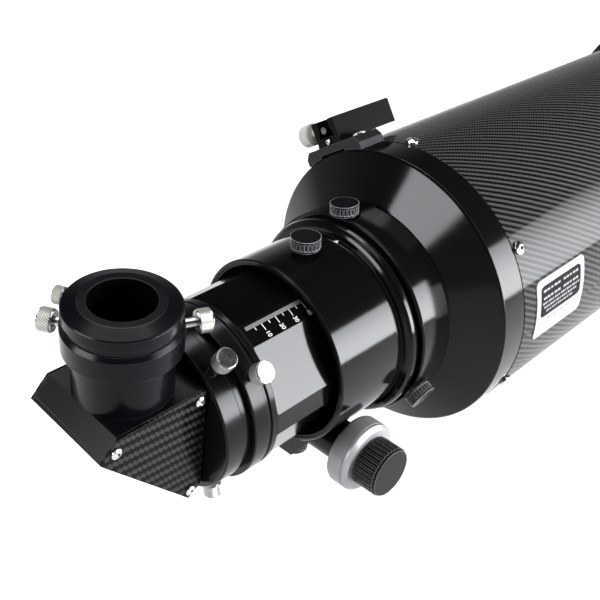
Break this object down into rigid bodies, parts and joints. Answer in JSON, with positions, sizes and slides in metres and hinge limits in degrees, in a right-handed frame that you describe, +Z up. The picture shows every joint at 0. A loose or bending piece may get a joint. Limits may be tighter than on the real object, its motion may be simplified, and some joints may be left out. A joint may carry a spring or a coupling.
{
  "type": "refractor telescope",
  "caption": "Refractor telescope tube with lens cell, sliding dew shield, rack focuser, mirror diagonal, hinged tube rings and a dovetail bar.",
  "frame": {"origin": "middle of the dovetail bar's underside", "axes": "+X along the optical axis towards the sky, +Y to the observer's left, +Z up"},
  "size_m": [1.126, 0.249, 0.2453],
  "materials": {
    "black_anodised": "gloss black anodised",
    "diagonal_black": "satin black anodised",
    "carbon": "clear-coated woven carbon",
    "black_knob": "satin black anodised",
    "nickel": "turned nickel plate",
    "steel_screw": "polished stainless",
    "silver_knob": "clear anodised, fine knurl",
    "steel": "ground steel",
    "brass": "satin",
    "glass": "multicoated",
    "mirror": "dielectric coated",
    "felt": "felt",
    "flat_black": "matte light-stop black",
    "label": "printed foil"
  },
  "bodies": {
    "telescope": {"main_tube": "carbon", "rear_cell": "black_anodised", "tube_screws": "steel_screw", "baffles": "flat_black", "objective_cell": "black_anodised", "lens_front": "glass", "lens_middle": "glass", "lens_rear": "glass", "retaining_ring": "black_anodised", "shield_felt": "felt", "label_plate": "label", "finder_base": "black_anodised", "finder_screws": "steel_screw", "finder_shoe": "black_anodised", "rotator": "black_anodised", "ring_lowers": "black_anodised", "dovetail_bar": "black_anodised", "bar_bolts": "steel"},
    "finder_clamp": {"finder_thumbscrew": "nickel"},
    "rotator_lock_top": {"rotator_knob_top": "black_knob"},
    "rotator_lock_near": {"rotator_knob_near": "black_knob"},
    "rotator_lock_far": {"rotator_knob_far": "black_knob"},
    "focuser": {"focuser_body": "black_anodised", "rear_bezel": "black_anodised", "focuser_bearings": "brass", "pinion_housing": "black_anodised", "housing_screws": "steel_screw"},
    "drawtube_lock": {"drawtube_lock_knob": "black_knob"},
    "tension": {"tension_knob": "black_knob"},
    "coarse_focus": {"pinion": "steel", "coarse_knob_near": "silver_knob", "coarse_knob_far": "silver_knob"},
    "fine_focus": {"fine_knob": "black_knob"},
    "drawtube": {"drawtube": "black_anodised", "rack": "steel", "end_ring": "black_anodised"},
    "rotation_lock": {"end_ring_screw": "nickel"},
    "rotation_lock_low": {"end_ring_screw_low": "nickel"},
    "diagonal": {"collar": "black_anodised", "collar_clamp_ring": "brass", "diag_body": "diagonal_black", "diag_nose": "diagonal_black", "diag_mirror": "mirror", "diag_cover": "diagonal_black", "side_plates": "carbon", "side_plate_screws": "steel_screw", "eyepiece_holder": "diagonal_black", "holder_clamp_ring": "brass"},
    "collar_lock_near": {"collar_screw_near": "nickel"},
    "collar_lock_far": {"collar_screw_far": "nickel"},
    "holder_lock_front": {"holder_screw_front": "nickel"},
    "holder_lock_rear": {"holder_screw_rear": "nickel"},
    "adapter": {"eyepiece_adapter": "diagonal_black"},
    "adapter_lock": {"adapter_screw": "nickel"},
    "shield": {"dew_shield": "black_anodised"},
    "shield_lock": {"shield_lock_screw": "nickel"},
    "ring_rear": {"ring_upper_rear": "black_anodised"},
    "ring_front": {"ring_upper_front": "black_anodised"},
    "ring_clamp_rear": {"ring_knob_rear": "black_knob"},
    "ring_clamp_front": {"ring_knob_front": "black_knob"}
  },
  "joints": [
    {"name": "focuser_rotate", "type": "hinge", "parent": "telescope", "child": "focuser", "pos_m": [-0.55, 0, 0.128], "axis": [1, 0, 0], "continuous": true},
    {"name": "drawtube_slide", "type": "slide", "parent": "focuser", "child": "drawtube", "axis": [-1, 0, 0], "range_m": [-0.04, 0.038]},
    {"name": "coarse_turn", "type": "hinge", "parent": "focuser", "child": "coarse_focus", "pos_m": [-0.5923, 0, 0.07], "axis": [0, -1, 0], "range_deg": [-300, 300]},
    {"name": "fine_turn", "type": "hinge", "parent": "focuser", "child": "fine_focus", "pos_m": [-0.5923, -0.068, 0.07], "axis": [0, -1, 0], "range_deg": [-2900, 2900]},
    {"name": "drawtube_lock_turn", "type": "hinge", "parent": "focuser", "child": "drawtube_lock", "pos_m": [-0.5903, 0, 0.188], "axis": [0, 0, 1], "range_deg": [0, 720]},
    {"name": "tension_turn", "type": "hinge", "parent": "focuser", "child": "tension", "pos_m": [-0.5923, 0, 0.048], "axis": [0, 0, -1], "range_deg": [0, 720]},
    {"name": "rotation_lock_turn", "type": "hinge", "parent": "drawtube", "child": "rotation_lock", "pos_m": [-0.6695, -0.04663, 0.16576], "axis": [0, -0.7771, 0.6293], "range_deg": [0, 720]},
    {"name": "rotation_lock_low_turn", "type": "hinge", "parent": "drawtube", "child": "rotation_lock_low", "pos_m": [-0.671, -0.00939, 0.06874], "axis": [0, -0.1564, -0.9877], "range_deg": [0, 720]},
    {"name": "diagonal_rotate", "type": "hinge", "parent": "drawtube", "child": "diagonal", "pos_m": [-0.675, 0, 0.128], "axis": [1, 0, 0], "continuous": true},
    {"name": "collar_lock_near_turn", "type": "hinge", "parent": "diagonal", "child": "collar_lock_near", "pos_m": [-0.685, -0.03694, 0.17528], "axis": [0, -0.6157, 0.788], "range_deg": [0, 720]},
    {"name": "collar_lock_far_turn", "type": "hinge", "parent": "diagonal", "child": "collar_lock_far", "pos_m": [-0.685, 0.05942, 0.13635], "axis": [0, 0.9903, 0.1392], "range_deg": [0, 720]},
    {"name": "holder_lock_front_turn", "type": "hinge", "parent": "diagonal", "child": "holder_lock_front", "pos_m": [-0.72, -0.00679, 0.19264], "axis": [0.9272, -0.3726, -0.0392], "range_deg": [0, 720]},
    {"name": "holder_lock_rear_turn", "type": "hinge", "parent": "diagonal", "child": "holder_lock_rear", "pos_m": [-0.72, -0.00679, 0.19264], "axis": [-0.5736, 0.8147, 0.0856], "range_deg": [0, 720]},
    {"name": "adapter_turn", "type": "hinge", "parent": "diagonal", "child": "adapter", "pos_m": [-0.72, -0.00784, 0.20259], "axis": [0, -0.1045, 0.9945], "continuous": true},
    {"name": "adapter_lock_turn", "type": "hinge", "parent": "adapter", "child": "adapter_lock", "pos_m": [-0.72, -0.00824, 0.20637], "axis": [-0.5, 0.8613, 0.0905], "range_deg": [0, 720]},
    {"name": "rotator_lock_top_turn", "type": "hinge", "parent": "telescope", "child": "rotator_lock_top", "pos_m": [-0.5515, 0.00575, 0.19375], "axis": [0, 0.0872, 0.9962], "range_deg": [0, 720]},
    {"name": "rotator_lock_near_turn", "type": "hinge", "parent": "telescope", "child": "rotator_lock_near", "pos_m": [-0.5515, -0.05982, 0.10011], "axis": [0, -0.9063, -0.4226], "range_deg": [0, 720]},
    {"name": "rotator_lock_far_turn", "type": "hinge", "parent": "telescope", "child": "rotator_lock_far", "pos_m": [-0.5515, 0.05406, 0.09014], "axis": [0, 0.8192, -0.5736], "range_deg": [0, 720]},
    {"name": "finder_clamp_turn", "type": "hinge", "parent": "telescope", "child": "finder_clamp", "pos_m": [-0.5105, 0.07059, 0.21266], "axis": [0, 0.848, -0.5299], "range_deg": [0, 720]},
    {"name": "shield_slide", "type": "slide", "parent": "telescope", "child": "shield", "axis": [1, 0, 0], "range_m": [0, 0.125]},
    {"name": "shield_lock_turn", "type": "hinge", "parent": "shield", "child": "shield_lock", "pos_m": [0.147, 0, 0.234], "axis": [0, 0, 1], "range_deg": [0, 720]},
    {"name": "ring_rear_open", "type": "hinge", "parent": "telescope", "child": "ring_rear", "pos_m": [-0.08, 0.114, 0.128], "axis": [-1, 0, 0], "range_deg": [0, 100]},
    {"name": "ring_clamp_rear_turn", "type": "hinge", "parent": "ring_rear", "child": "ring_clamp_rear", "pos_m": [-0.08, -0.118, 0.14], "axis": [0, 0, 1], "range_deg": [0, 720]},
    {"name": "ring_front_open", "type": "hinge", "parent": "telescope", "child": "ring_front", "pos_m": [0.08, 0.114, 0.128], "axis": [-1, 0, 0], "range_deg": [0, 100]},
    {"name": "ring_clamp_front_turn", "type": "hinge", "parent": "ring_front", "child": "ring_clamp_front", "pos_m": [0.08, -0.118, 0.14], "axis": [0, 0, 1], "range_deg": [0, 720]}
  ],
  "couplings": [
    {"joint": "coarse_turn", "follows": "drawtube_slide", "rad_per_m": 125},
    {"joint": "fine_turn", "follows": "drawtube_slide", "rad_per_m": 1250}
  ]
}
